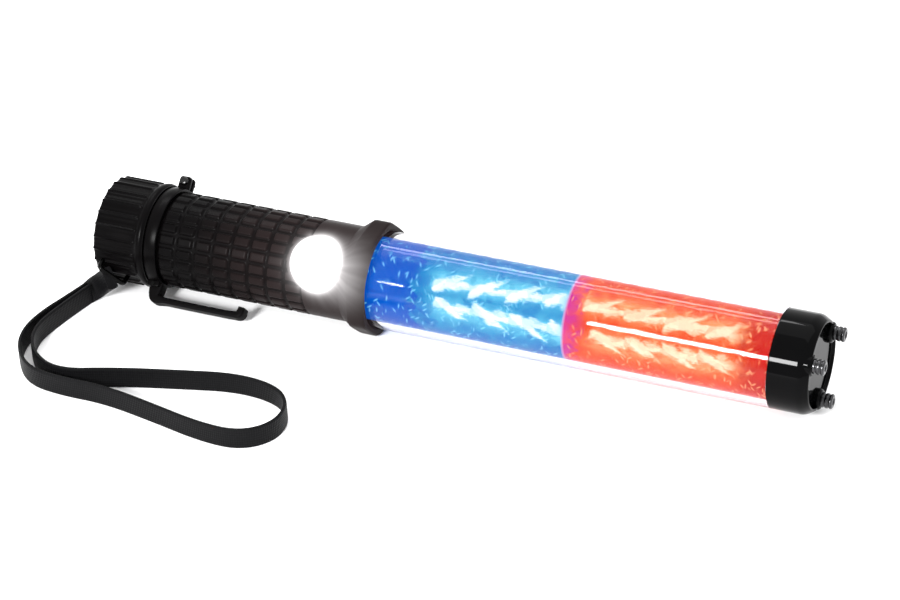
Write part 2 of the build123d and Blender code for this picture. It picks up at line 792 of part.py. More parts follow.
def make_strap(bail):
    radii = corner_radii(strap_route)
    with BuildPart() as wrist_strap:
        with BuildLine(Plane.XY.offset(strap_z)):
            path = FilletPolyline(*strap_route, radius=radii)
        with BuildSketch(Plane(origin=path @ 0, x_dir=(0, 0, 1), z_dir=path % 0)):
            Rectangle(strap_width, strap_thickness)
        sweep(path=path)
    save(wrist_strap.part, "wrist_strap")

    middle, bar, towards = bail_frame()
    fold_half = bail_wire_radius + 0.7
    fold_width = 2 * (bail_half_span - bail_wire_radius - free_clearance)
    upright = (Vector(0, 0, 1) - towards * towards.Z).normalized()
    with BuildPart() as strap_sleeve:
        with BuildSketch(Plane(origin=sleeve_front(), x_dir=(0, 0, 1), z_dir=-strap_heading())):
            Rectangle(strap_width + 0.4, sleeve_thickness)
        extrude(amount=sleeve_length)
        with BuildSketch(Plane(origin=sleeve_back(), x_dir=upright, z_dir=towards)):
            Rectangle(strap_width - 1.0, sleeve_thickness - 1.0)
        with BuildSketch(Plane(origin=middle + towards * fold_half, x_dir=bar, z_dir=towards)):
            Rectangle(fold_width, 2 * fold_half)
        loft()
        add(bail, mode=Mode.SUBTRACT)
    save(strap_sleeve.part, "strap_sleeve")


make_tail_cap()
make_tail_contact()
bail_part = make_strap_bail()
save(bail_part, "strap_bail")
make_handle()
make_clip()
holder_front = make_battery_pack()
make_inner_chassis(holder_front)
make_side_light()
make_collar()
make_signal_tube()
make_lamps()
make_end_cap()
make_strap(bail_part)
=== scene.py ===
"""Looks of a signal flashlight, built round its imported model.

The long axis is X, from the screw-on tail cap at -X to the steel studs at +X, and the flashlight
lies on z = 0 with its side light towards -Y and up.  Everything is in metres.  A shape is a
surface worked out with numpy: rings of points round an axis, or a profile carried along a path.
"""
import json
import math

import bmesh
import bpy
import numpy as np
from mathutils import Matrix, Vector


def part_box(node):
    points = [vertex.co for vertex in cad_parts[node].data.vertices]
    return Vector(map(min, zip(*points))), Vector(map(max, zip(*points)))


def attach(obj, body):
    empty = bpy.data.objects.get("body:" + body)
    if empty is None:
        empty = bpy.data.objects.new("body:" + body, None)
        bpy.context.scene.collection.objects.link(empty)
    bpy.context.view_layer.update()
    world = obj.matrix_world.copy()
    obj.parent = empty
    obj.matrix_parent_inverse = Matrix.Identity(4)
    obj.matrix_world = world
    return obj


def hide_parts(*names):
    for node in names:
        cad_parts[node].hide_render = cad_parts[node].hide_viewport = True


MM = 0.001
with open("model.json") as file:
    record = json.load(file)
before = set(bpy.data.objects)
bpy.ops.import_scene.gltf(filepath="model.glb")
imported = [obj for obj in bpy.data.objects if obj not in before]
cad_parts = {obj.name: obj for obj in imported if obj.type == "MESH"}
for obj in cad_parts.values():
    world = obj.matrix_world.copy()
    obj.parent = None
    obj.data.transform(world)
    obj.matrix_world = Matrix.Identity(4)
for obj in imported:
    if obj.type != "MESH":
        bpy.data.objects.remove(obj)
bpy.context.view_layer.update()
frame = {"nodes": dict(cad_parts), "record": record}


# ------------------------------------------------------------------ places taken from the frame
def ends(node):
    """Lowest and highest x of a node."""
    low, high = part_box(node)
    return low[0], high[0]


def centre(node):
    low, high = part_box(node)
    return (np.array(low) + np.array(high)) / 2


axis_z = float(centre("signal_tube")[2])
cap_back, cap_front = ends("tail_cap")
ring_back, ring_front = ends("clip_ring")
grip_back = ring_front + 0.1 * MM
tube_back, tube_front = ends("signal_tube")
face_back, face_front = ends("end_cap")
colour_change = ends("blue_liner")[1]
light_x = float(centre("side_light_lens")[0])
grip_radius = 19.8 * MM
tube_radius = 20.0 * MM
cap_radius = 22.0 * MM
light_angle = math.radians(40.0)
button_angle = math.radians(220.0)
hook_angle = math.radians(-40.0)
bail_angle = math.radians(-18.0)
clamp_angle = math.radians(137.0)
front_angle = math.radians(36.4)      # the middle of the lit foil
streak_angle = math.radians(29.4)
collar_back = -4.6 * MM
collar_front = 4.6 * MM
flare_back = -7.6 * MM


def out_direction(angle):
    """Unit vector away from the axis, at an angle above the -Y side."""
    return np.array([0.0, -math.cos(angle), math.sin(angle)])


def tangent_direction(angle):
    """Unit vector round the axis, towards larger angles."""
    return np.array([0.0, math.sin(angle), math.cos(angle)])


def on_axis(x, angle=0.0, radius=0.0):
    return np.array([x, 0.0, axis_z]) + out_direction(angle) * radius


# ------------------------------------------------------------------ camera, floor and light
def make_camera():
    """A long lens on a slightly rolled camera in front of the tube and above it."""
    azimuth = math.radians(24.6)
    elevation = math.radians(34.0)
    roll = math.radians(3.15)
    distance = 1.327
    target = Vector((0.0329, 0.0, 0.0188))
    back = Vector((math.sin(azimuth) * math.cos(elevation),
                   -math.cos(azimuth) * math.cos(elevation), math.sin(elevation)))
    right = Vector((0, 0, 1)).cross(back).normalized()
    up = back.cross(right)
    turned_right = right * math.cos(roll) - up * math.sin(roll)
    turned_up = right * math.sin(roll) + up * math.cos(roll)
    data = bpy.data.cameras.new("camera")
    data.lens = 132.0
    data.sensor_width = 36.0
    data.clip_start = 0.01
    data.clip_end = 50.0
    camera = bpy.data.objects.new("camera", data)
    camera.matrix_world = Matrix((
        (turned_right.x, turned_up.x, back.x, target.x + back.x * distance),
        (turned_right.y, turned_up.y, back.y, target.y + back.y * distance),
        (turned_right.z, turned_up.z, back.z, target.z + back.z * distance),
        (0, 0, 0, 1)))
    bpy.context.collection.objects.link(camera)
    bpy.context.scene.camera = camera


def area_light(name, place, look_at, width, height, power):
    data = bpy.data.lights.new(name, "AREA")
    data.shape = "RECTANGLE"
    data.size = width
    data.size_y = height
    data.energy = power
    light = bpy.data.objects.new(name, data)
    direction = Vector(look_at) - Vector(place)
    light.rotation_euler = direction.to_track_quat("-Z", "Y").to_euler()
    light.location = place
    bpy.context.collection.objects.link(light)
    return light


def strip_light(name, x_start, x_end, distance, height, power):
    """A long thin light in front of the tube, which draws the straight highlight along it."""
    out = out_direction(streak_angle)
    up = tangent_direction(streak_angle)
    place = on_axis((x_start + x_end) / 2, streak_angle, distance)
    data = bpy.data.lights.new(name, "AREA")
    data.shape = "RECTANGLE"
    data.size = x_end - x_start
    data.size_y = height
    data.energy = power
    light = bpy.data.objects.new(name, data)
    light.matrix_world = Matrix((
        (1, up[0], out[0], place[0]),
        (0, up[1], out[1], place[1]),
        (0, up[2], out[2], place[2]),
        (0, 0, 0, 1)))
    bpy.context.collection.objects.link(light)
    return light


def make_studio():
    """A pale floor that is lit evenly from all round, and four lights for the highlights."""
    scene = bpy.context.scene
    scene.view_settings.view_transform = "Standard"
    world = bpy.data.worlds.new("studio")
    world.use_nodes = True
    scene.world = world
    background = world.node_tree.nodes["Background"]
    background.inputs["Color"].default_value = (1.0, 1.0, 1.0, 1.0)
    background.inputs["Strength"].default_value = 1.3
    area_light("overhead", (0.1, 0.5, 1.5), (0.02, 0, 0), 2.0, 1.2, 10.0)
    area_light("edge_light", (-0.25, 0.42, 0.75), (-0.05, 0, 0.02), 0.5, 0.07, 2.2)
    strip_light("tube_streak", -0.216, -0.008, 1.0, 0.15, 16.0)
    strip_light("tube_glint", -0.376, -0.356, 1.0, 0.09, 0.5)

    size = 6.0
    mesh = bpy.data.meshes.new("floor")
    corners = [(-size, -size, 0), (size, -size, 0), (size, size, 0), (-size, size, 0)]
    mesh.from_pydata(corners, [], [(0, 1, 2, 3)])
    floor = bpy.data.objects.new("floor", mesh)
    bpy.context.collection.objects.link(floor)
    paper = Paint("floor_paper")
    speckle = paper.noise(scale=420.0, detail=2.0)
    paper.set("Base Color", paper.mix(speckle, (0.95, 0.95, 0.96), (0.97, 0.97, 0.97)))
    paper.set("Roughness", 0.9)
    paper.set("Specular IOR Level", 0.1)
    paper.give(floor)


# ------------------------------------------------------------------ shader maths
class Value:
    """A number on a node's socket.  Arithmetic on it adds Math nodes."""

    def __init__(self, paint, socket):
        self.paint = paint
        self.socket = socket

    def maths(self, operation, *others, first=None):
        terms = [self, *others] if first is None else [first, self]
        node = self.paint.node("ShaderNodeMath", {"operation": operation},
                               dict(enumerate(terms)))
        return Value(self.paint, node.outputs[0])

    def __add__(self, other):
        return self.maths("ADD", other)

    def __radd__(self, other):
        return self.maths("ADD", other)

    def __sub__(self, other):
        return self.maths("SUBTRACT", other)

    def __rsub__(self, other):
        return self.maths("SUBTRACT", first=other)

    def __mul__(self, other):
        return self.maths("MULTIPLY", other)

    def __rmul__(self, other):
        return self.maths("MULTIPLY", other)

    def __truediv__(self, other):
        return self.maths("DIVIDE", other)

    def __rtruediv__(self, other):
        return self.maths("DIVIDE", first=other)

    def __pow__(self, other):
        return self.maths("POWER", other)

    def __neg__(self):
        return self.maths("MULTIPLY", -1.0)

    def __abs__(self):
        return self.maths("ABSOLUTE")

    def fraction(self):
        return self.maths("FRACT")

    def sine(self):
        return self.maths("SINE")

    def exponent(self):
        return self.maths("EXPONENT")

    def least(self, other):
        return self.maths("MINIMUM", other)

    def most(self, other):
        return self.maths("MAXIMUM", other)

    def step(self, low, high):
        """0 below low and 1 above high, with a smooth change between; high may be the lower."""
        node = self.paint.node("ShaderNodeMapRange", {"interpolation_type": "SMOOTHSTEP"},
                               {"Value": self, "From Min": low, "From Max": high})
        return Value(self.paint, node.outputs["Result"])


class Paint:
    """One material: a Principled shader and the nodes that feed it."""

    def __init__(self, name):
        self.material = bpy.data.materials.new(name)
        self.material.use_nodes = True
        self.tree = self.material.node_tree
        self.shader = self.tree.nodes["Principled BSDF"]

    def feed(self, socket, source):
        if isinstance(source, Value):
            self.tree.links.new(source.socket, socket)
        elif isinstance(source, bpy.types.NodeSocket):
            self.tree.links.new(source, socket)
        elif isinstance(source, tuple) and socket.type == "RGBA":
            socket.default_value = (*source, 1.0)
        else:
            socket.default_value = source

    def node(self, kind, settings=None, inputs=None):
        made = self.tree.nodes.new(kind)
        for name, setting in (settings or {}).items():
            setattr(made, name, setting)
        for key, source in (inputs or {}).items():
            self.feed(made.inputs[key], source)
        return made

    def set(self, name, source):
        self.feed(self.shader.inputs[name], source)

    def place(self, kind="Object"):
        """The three coordinates of a point, as values."""
        texture = self.node("ShaderNodeTexCoord")
        apart = self.node("ShaderNodeSeparateXYZ", None, {0: texture.outputs[kind]})
        return [Value(self, output) for output in apart.outputs]

    def vector(self, x, y, z):
        return self.node("ShaderNodeCombineXYZ", None, {0: x, 1: y, 2: z}).outputs[0]

    def noise(self, scale, detail=3.0, vector=None, roughness=0.5):
        inputs = {"Scale": scale, "Detail": detail, "Roughness": roughness}
        inputs["Vector"] = vector or self.node("ShaderNodeTexCoord").outputs["Object"]
        return Value(self, self.node("ShaderNodeTexNoise", None, inputs).outputs["Fac"])

    def mix(self, mask, first, second):
        """A colour between two, by a mask from 0 to 1."""
        node = self.node("ShaderNodeMix", {"data_type": "RGBA"})
        self.feed(node.inputs["Factor"], mask)
        self.feed(node.inputs[6], first)
        self.feed(node.inputs[7], second)
        return node.outputs[2]

    def bump(self, height, distance, strength=1.0):
        node = self.node("ShaderNodeBump", None,
                         {"Height": height, "Distance": distance, "Strength": strength})
        self.set("Normal", node.outputs[0])

    def give(self, thing):
        thing.data.materials.clear()
        thing.data.materials.append(self.material)


# ------------------------------------------------------------------ mesh helpers
class Skin:
    """Patches of quads, gathered into one mesh object."""

    def __init__(self, name):
        self.name = name
        self.points = []
        self.faces = []
        self.uvs = []
        self.count = 0

    def patch(self, grid, wrap=False, uv=None):
        """Adds a grid of points, shape (rows, columns, 3); wrap joins the last column to the
        first."""
        rows, columns = grid.shape[:2]
        index = np.arange(rows * columns).reshape(rows, columns) + self.count
        step = np.roll(index, -1, axis=1) if wrap else index[:, 1:]
        here = index if wrap else index[:, :-1]
        quads = np.stack([here[:-1], step[:-1], step[1:], here[1:]], axis=-1).reshape(-1, 4)
        self.points.append(grid.reshape(-1, 3))
        self.faces.append(quads)
        self.uvs.append((grid.reshape(-1, 3)[:, :2] * 0 if uv is None else uv.reshape(-1, 2)))
        self.count += rows * columns
        return self

    def make(self, sharp=40.0):
        points = np.concatenate(self.points)
        quads = np.concatenate(self.faces)
        mesh = bpy.data.meshes.new(self.name)
        mesh.from_pydata(points.tolist(), [], quads.tolist())
        layer = mesh.uv_layers.new(name="along_and_across")
        uv = np.concatenate(self.uvs)
        corner = np.empty(len(mesh.loops), dtype=np.int32)
        mesh.loops.foreach_get("vertex_index", corner)
        layer.uv.foreach_set("vector", uv[corner].astype(np.float32).ravel())
        tidy(mesh)
        mesh.shade_smooth()
        mesh.set_sharp_from_angle(angle=math.radians(sharp))
        thing = bpy.data.objects.new(self.name, mesh)
        bpy.context.collection.objects.link(thing)
        return thing


def tidy(mesh):
    """Merges doubled points, drops faces that shrank to nothing and turns faces outwards."""
    work = bmesh.new()
    work.from_mesh(mesh)
    bmesh.ops.remove_doubles(work, verts=work.verts, dist=1e-6)
    bmesh.ops.dissolve_degenerate(work, edges=work.edges, dist=1e-7)
    bmesh.ops.recalc_face_normals(work, faces=work.faces)
    work.to_mesh(mesh)
    work.free()


def rings(x, radius, angle):
    """Points round the main axis: x and radius may change with the row and the angle."""
    x, radius, angle = np.broadcast_arrays(x, radius, angle)
    return np.stack([x, -np.cos(angle) * radius, axis_z + np.sin(angle) * radius], axis=-1)


def turned(origin, direction, profile, segments=48, across=None):
    """A profile of (distance along, radius) pairs, turned round a line through origin."""
    direction = np.array(direction, float)
    direction /= np.linalg.norm(direction)
    side = np.array([1.0, 0, 0]) if across is None else np.array(across, float)
    side = side - direction * side.dot(direction)
    side /= np.linalg.norm(side)
    other = np.cross(direction, side)
    profile = np.array(profile, float)
    turn = np.linspace(0, 2 * np.pi, segments, endpoint=False)
    along = profile[:, 0][:, None, None] * direction
    around = (np.cos(turn)[:, None] * side + np.sin(turn)[:, None] * other)[None]
    return np.array(origin) + along + profile[:, 1][:, None, None] * around


def rounded(points, radius, steps=5):
    """An outline's corners turned into arcs: each corner point gives way to a short curve
    between the places where the arc meets its two sides."""
    points = [np.array(point, float) for point in points]
    result = [points[0]]
    for before, here, after in zip(points, points[1:], points[2:]):
        first = before - here
        second = after - here
        reach = min(radius, 0.45 * np.linalg.norm(first), 0.45 * np.linalg.norm(second))
        start = here + first / np.linalg.norm(first) * reach
        end = here + second / np.linalg.norm(second) * reach
        for share in np.linspace(0, 1, steps):
            result.append((1 - share) ** 2 * start + 2 * share * (1 - share) * here
                          + share ** 2 * end)
    result.append(points[-1])
    return np.array(result)


def smooth_step(value, low, high):
    share = np.clip((value - low) / (high - low), 0, 1)
    return share * share * (3 - 2 * share)


def block_shell(origin, axes, half_sizes, roundness=5.0, rows=14, columns=28):
    """A rounded block: a superellipsoid, each coordinate a signed power of a sine or cosine."""
    tilt = np.linspace(-np.pi / 2, np.pi / 2, rows)[:, None]
    turn = np.linspace(-np.pi, np.pi, columns, endpoint=False)[None]

    def power(value):
        return np.sign(value) * np.abs(value) ** (2 / roundness)

    local = np.stack([power(np.cos(tilt)) * power(np.cos(turn)),
                      power(np.cos(tilt)) * power(np.sin(turn)),
                      power(np.sin(tilt)) * np.ones_like(turn)], axis=-1)
    return np.array(origin) + (local * np.array(half_sizes)) @ np.array(axes)


# ------------------------------------------------------------------ materials
def light_offsets(paint):
    """Millimetres along the axis from the side light's middle, round the grip from it, and the
    straight distance over the surface."""
    x, y, z = paint.place()
    along = (x - light_x) * 1000.0
    around = ((z - axis_z).maths("ARCTAN2", -y) - light_angle) * (grip_radius / MM)
    return along, around, (along ** 2.0 + around ** 2.0) ** 0.5


def add_side_light_glow(paint, relief=None):
    """Light that the side light throws on the parts round it: a white flare over the bezel, a
    soft patch towards the collar and below, and a warm dim cast that fades towards the tail."""
    along, around, distance = light_offsets(paint)
    oval = ((along / 10.5) ** 2.0 + (around / 12.4) ** 2.0) ** 0.5
    flare = ((oval - 1.0).most(0.0) / -0.085).exponent() * 1.2
    rays = paint.noise(scale=1.0, detail=1.0, vector=paint.vector(
        (along + 2.0) / (distance + 1.0) * 5.0, around / (distance + 1.0) * 5.0, 2.0))
    patch_distance = (((along - 7.0) / 12.5) ** 2.0 + ((around + 2.5) / 9.6) ** 2.0)
    patch = (-patch_distance).exponent() * (rays * 1.1 + 0.3) * 0.95
    warm = distance.step(62.0, 22.0) * 0.021 + (distance / -9.0).exponent() * 0.08
    # painted shade: the warm painted cast is dimmer in the gaps between the grip's pads, by the pad
    # height
    if relief is not None:
        warm = warm * (relief * 0.75 + 0.25)
    white = flare + patch
    share = white / (white + warm + 0.0001)
    colour = paint.mix(share, (1.0, 0.64, 0.63), (1.0, 0.975, 0.98))
    scaled = paint.node("ShaderNodeVectorMath", {"operation": "SCALE"},
                        {0: colour, "Scale": white + warm})
    paint.set("Emission Color", scaled.outputs[0])
    paint.set("Emission Strength", 1.0)


def grip_plastic(name="grip_plastic", glow=True, roughness=0.34, relief=False):
    """Moulded black plastic with a fine satin grain and a little dust in it. With glow, the light
    that the side light throws on it is painted in as emission.
    """
    paint = Paint(name)
    grain = paint.noise(scale=2600.0, detail=2.0)
    cloud = paint.noise(scale=90.0, detail=3.0)
    paint.set("Base Color", paint.mix(cloud, (0.0006, 0.0005, 0.0006), (0.0018, 0.0015, 0.0016)))
    paint.set("Roughness", cloud * 0.14 + (roughness - 0.07))
    paint.set("Specular IOR Level", 0.032)
    paint.bump(grain, 0.00004, 0.4)
    # painted light: the side light's flare, patch and warm cast on this plastic, as emission
    if glow:
        add_side_light_glow(paint, paint.place("UV")[0] if relief else None)
    return paint


def gloss_black():
    """Polished black plastic with a faint swirl in its polish."""
    paint = Paint("gloss_black")
    wisp = paint.noise(scale=60.0, detail=4.0)
    paint.set("Base Color", paint.mix(wisp, (0.0004, 0.0004, 0.0005), (0.0010, 0.0010, 0.0012)))
    paint.set("Roughness", wisp * 0.02 + 0.035)
    paint.set("Specular IOR Level", 0.05)
    return paint


def clear_plastic():
    """Clear plastic that turns lilac where it is seen edge on."""
    paint = Paint("clear_tube")
    haze = paint.noise(scale=45.0, detail=3.0)
    edge = Value(paint, paint.node("ShaderNodeLayerWeight", None, {"Blend": 0.5}).outputs["Facing"])
    paint.set("Base Color", paint.mix(edge.step(0.6, 0.95), (0.97, 0.965, 1.0),
                                      (0.60, 0.54, 0.70)))
    paint.set("Transmission Weight", 1.0)
    paint.set("IOR", 1.22)
    paint.set("Specular IOR Level", 0.3)
    paint.set("Roughness", haze * 0.015 + 0.005)
    return paint


def steel(name="stud_steel", dark=(0.02, 0.02, 0.021), light=(0.08, 0.08, 0.083)):
    """Dark steel with fine lathe marks across its axis."""
    paint = Paint(name)
    x, y, z = paint.place()
    lathe = paint.noise(scale=1.0, detail=3.0,
                        vector=paint.vector(x * 9000.0, y * 300.0, z * 300.0))
    paint.set("Base Color", paint.mix(lathe, dark, light))
    paint.set("Metallic", 1.0)
    paint.set("Roughness", lathe * 0.16 + 0.18)
    paint.bump(lathe, 0.00003, 0.6)
    return paint


def foil_coordinates(paint, radius_mm):
    """Millimetres along the tube, and round it from the line that faces the front."""
    x, y, z = paint.place()
    angle = (z - axis_z).maths("ARCTAN2", -y)
    return x * 1000.0, (angle - front_angle) * radius_mm


def feather(paint, phase, across, pitch):
    """One lobe of a row: a leaf that rises from the line as it runs on, thickest a third of the
    way along and pointed at its far end, and a low body that joins it to the next one."""
    share = phase / pitch
    middle = share ** 1.2 * (pitch * 0.46)
    half = (share * math.pi).sine() ** 0.6 * 3.1 * (1.2 - share)
    leaf = (half - abs(across - middle)).step(-0.8, 1.1)
    body = (1.5 - abs(across - 1.4 - share * 0.9)).step(-0.7, 0.9) * share.step(0.05, 0.35)
    return leaf.most(body)


def feather_row(paint, along, around, row, warp, shred):
    """A row of such lobes that points back along the tube, with ragged brushed edges."""
    start, end, pitch, line, slope, side = row
    across = (around - line - (along - start) * slope) * side + warp
    moved = along - start + warp * 0.8
    first = feather(paint, (moved / pitch).fraction() * pitch, across + shred, pitch)
    second = feather(paint, (moved / pitch + 0.46).fraction() * pitch, across * 1.5 - 0.3 + shred,
                     pitch) * 0.75
    inside = moved.step(-0.5, 1.0) * along.step(end + 3.0, end - 6.0)
    return first.most(second) * inside


def flecks(paint, along, around, slant, density, seed):
    """Short bright dashes scattered over the foil, all leaning one way."""
    turned_along = along * math.cos(slant) + around * math.sin(slant) + seed
    turned_around = around * math.cos(slant) - along * math.sin(slant)
    vector = paint.vector(turned_along * 0.17, turned_around * 0.62, seed)
    cells = paint.node("ShaderNodeTexVoronoi", {"feature": "F1"},
                       {"Vector": vector, "Scale": 1.0, "Randomness": 1.0})
    distance = Value(paint, cells.outputs["Distance"])
    pick = Value(paint, paint.node("ShaderNodeSeparateColor", None,
                                   {0: cells.outputs["Color"]}).outputs[0])
    return distance.step(0.30, 0.12) * pick.step(1.0 - density, 1.04 - density)


def facets(paint, along, around, scale):
    """Flat patches of crumpled foil, each with its own shade."""
    vector = paint.vector(along * 0.7, around, 3.0)
    cells = paint.node("ShaderNodeTexVoronoi", {"feature": "F1"},
                       {"Vector": vector, "Scale": scale, "Randomness": 1.0})
    shade = paint.node("ShaderNodeSeparateColor", None, {0: cells.outputs["Color"]})
    return Value(paint, shade.outputs[1])


def lit_foil(name, radius_mm, rows, deep, bright, glow, hot, zones):
    """Light from rows of lamps behind crumpled prismatic foil: deep and bright are the foil's
    two shades, glow lies round the rows of lobes and hot is in them."""
    paint = Paint(name)
    along, around = foil_coordinates(paint, radius_mm)
    wander = paint.vector(along * 0.13, around * 0.22, 1.0)
    warp = (paint.noise(scale=1.0, detail=2.0, vector=wander) - 0.5) * 6.0
    fine = paint.vector(along * 0.5, around * 1.5, 5.0)
    shred = (paint.noise(scale=1.0, detail=4.0, vector=fine, roughness=0.7) - 0.5) * 4.0
    shade = facets(paint, along, around, 0.2) * 0.5 + facets(paint, along, around, 0.5) * 0.5
    flames = None
    halo = None
    for row in rows:
        start, end, _, line, slope, side = row
        lobes = feather_row(paint, along, around, row, warp, shred)
        across = abs(around - line - (along - start) * slope - side * 3.0) - 2.5
        near = (across / -4.6).exponent().least(1.0) * along.step(start - 9.0, start + 5.0)
        flames = lobes if flames is None else flames.most(lobes)
        halo = near if halo is None else halo.most(near)
    dashes = flecks(paint, along, around, 0.6, 0.62, 2.0).most(
        flecks(paint, along, around, -1.0, 0.55, 9.0)).most(
        flecks(paint, along, around, 1.45, 0.45, 17.0))
    mood = (halo * 0.55 + shade * 0.55).least(1.0)
    colour = paint.mix(mood, deep, bright)
    colour = paint.mix(halo * halo * (shade * 0.7 + 0.15), colour, glow)
    for low, high, tint, weight in zones:
        ragged = along + (shade - 0.5) * 9.0
        colour = paint.mix(ragged.step(low, high) * weight, colour, tint)
    # painted shade: the foil's painted light is darker towards its sides round the tube, away from
    # the line that faces the front
    rim = abs(around - 2.0).step(17.0, 25.0)
    colour = paint.mix(rim * (0.35 + shade * 0.4), colour, deep)
    colour = paint.mix(dashes * (halo * 0.3 + 0.62), colour, glow)
    colour = paint.mix(flames, colour, glow)
    colour = paint.mix((flames ** 2.0) * (shade * 0.6 + 0.55), colour, hot)
    seam = abs(along - colour_change / MM).step(0.75, 0.25)
    colour = paint.mix(seam * 0.55, colour, (0.75, 0.42, 0.72))
    base = paint.node("ShaderNodeVectorMath", {"operation": "SCALE"}, {0: colour, "Scale": 0.22})
    paint.set("Base Color", base.outputs[0])
    paint.set("Specular IOR Level", 0.0)
    paint.set("Emission Color", colour)
    paint.set("Emission Strength", 0.74)
    paint.set("Roughness", 0.6)
    return paint


def webbing(name="webbing", pitch=0.9):
    """Narrow woven band: fine ribs across it and fine threads along it, in UV millimetres."""
    paint = Paint(name)
    along, across, _ = paint.place("UV")
    rib = (along * (2 * math.pi / pitch)).sine() * 0.5 + 0.5
    warp = (across * (2 * math.pi / 1.1)).sine() * 0.5 + 0.5
    fuzz = paint.noise(scale=5200.0, detail=2.0)
    height = rib * 0.6 + warp * 0.35 + fuzz * 0.3
    # painted shade: the colour is darker where the weave lies low, in its hollows
    paint.set("Base Color", paint.mix(height * 0.8, (0.0008, 0.0008, 0.001),
                                      (0.0045, 0.0045, 0.005)))
    paint.set("Roughness", 0.5)
    paint.set("Specular IOR Level", 0.06)
    paint.bump(height, 0.00016, 0.8)
    return paint


def rubber(name="button_rubber"):
    """Matt black rubber with a fine grain."""
    paint = Paint(name)
    grain = paint.noise(scale=1900.0, detail=2.0)
    paint.set("Base Color", paint.mix(grain, (0.012, 0.012, 0.012), (0.022, 0.022, 0.022)))
    paint.set("Roughness", grain * 0.2 + 0.55)
    paint.bump(grain, 0.00006, 0.5)
    return paint


def inner_material(name, dark, light, roughness, metallic=0.0, emission=0.0):
    """A plain finish for a piece inside the case, with a little mottle in it."""
    paint = Paint(name)
    mottle = paint.noise(scale=380.0, detail=3.0)
    colour = paint.mix(mottle, dark, light)
    paint.set("Base Color", colour)
    paint.set("Roughness", mottle * 0.15 + roughness)
    paint.set("Metallic", metallic)
    if emission:
        paint.set("Emission Color", colour)
        paint.set("Emission Strength", emission)
    return paint


# ------------------------------------------------------------------ wrist strap
strap_width = 9.0 * MM
strap_thickness = 1.5 * MM
strap_z = 4.8 * MM
sleeve_width = strap_width + 0.4 * MM
sleeve_thickness = 4.4 * MM
strap_route = [
    (-0.1210, -0.0240), (-0.1244, -0.0360), (-0.1286, -0.0490), (-0.1298, -0.0620),
    (-0.1260, -0.0740), (-0.1155, -0.0855), (-0.1000, -0.0880), (-0.0800, -0.0874),
    (-0.0560, -0.0920), (-0.0340, -0.0970), (-0.0160, -0.0976), (-0.0054, -0.0880),
    (-0.0050, -0.0745), (-0.0140, -0.0650), (-0.0330, -0.0626), (-0.0560, -0.0684),
    (-0.0820, -0.0754), (-0.1030, -0.0836), (-0.1180, -0.0760), (-0.1260, -0.0620),
    (-0.1246, -0.0460), (-0.1190, -0.0246),
]


def spline_path(route):
    """Points along the smooth curve that has the route's points as its control points."""
    curve = bpy.data.curves.new("strap_line", "CURVE")
    curve.dimensions = "3D"
    curve.resolution_u = 12
    spline = curve.splines.new("NURBS")
    spline.points.add(len(route) - 1)
    for point, (x, y, z) in zip(spline.points, route):
        point.co = (x, y, z, 1.0)
    spline.order_u = 3
    spline.use_endpoint_u = True
    holder = bpy.data.objects.new("strap_line", curve)
    mesh = bpy.data.meshes.new_from_object(holder)
    path = np.array([vertex.co for vertex in mesh.vertices])
    bpy.data.meshes.remove(mesh)
    bpy.data.objects.remove(holder)
    bpy.data.curves.remove(curve)
    return path


def band(skin, path, width, thickness, edge=0.32, columns=20):
    """A flat band that stands on its edge along a path: each coordinate of its rounded section
    is a sine or cosine raised to the power edge, with its sign kept."""
    ahead = np.gradient(path, axis=0)
    ahead /= np.linalg.norm(ahead, axis=1)[:, None]
    upright = np.array([0.0, 0.0, 1.0]) - ahead * ahead[:, 2:3]
    upright /= np.linalg.norm(upright, axis=1)[:, None]
    side = np.cross(upright, ahead)
    turn = np.linspace(0, 2 * np.pi, columns, endpoint=False)
    across = np.sign(np.cos(turn)) * np.abs(np.cos(turn)) ** edge
    deep = np.sign(np.sin(turn)) * np.abs(np.sin(turn)) ** edge
    grid = (path[:, None] + upright[:, None] * (across * width / 2)[None, :, None]
            + side[:, None] * (deep * thickness / 2)[None, :, None])
    run = np.concatenate([[0], np.cumsum(np.linalg.norm(np.diff(path, axis=0), axis=1))])
    uv = np.stack(np.broadcast_arrays(run[:, None] / MM, (across * width / 2 / MM)[None]), axis=-1)
    start = np.repeat(path[:1, None], columns, axis=1)
    end = np.repeat(path[-1:, None], columns, axis=1)
    grid = np.concatenate([start, grid, end])
    uv = np.concatenate([uv[:1], uv, uv[-1:]])
    return skin.patch(grid, wrap=True, uv=uv)


def make_strap():
    """The webbing loop on its spline, and the sewn sleeve: a thicker band on a curve from the
    bail's bar to the loop's mouth, its two ends joined by one bend point."""
    route = [(x, y, strap_z) for x, y in strap_route]
    path = spline_path(route)
    strap = band(Skin("strap_webbing"), path, strap_width, strap_thickness).make(60.0)
    webbing().give(strap)
    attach(strap, "tail_cap")
    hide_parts("wrist_strap")

    bar = centre("strap_bail") + out_direction(bail_angle) * 4.0 * MM
    mouth = (path[0] + path[-1]) / 2
    ahead = path[1] - path[0]
    ahead = ahead / np.linalg.norm(ahead)
    share = np.linspace(0, 1, 40)[:, None]
    bend = mouth - ahead * 6.0 * MM
    line = (1 - share) ** 2 * bar + 2 * share * (1 - share) * bend + share ** 2 * (
        mouth + ahead * 0.6 * MM)
    skin = Skin("sewn_sleeve")
    band(skin, line, sleeve_width, sleeve_thickness, edge=0.3, columns=28)
    sleeve = skin.make(60.0)
    webbing("sleeve_webbing").give(sleeve)
    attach(sleeve, "tail_cap")
    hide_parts("strap_sleeve")


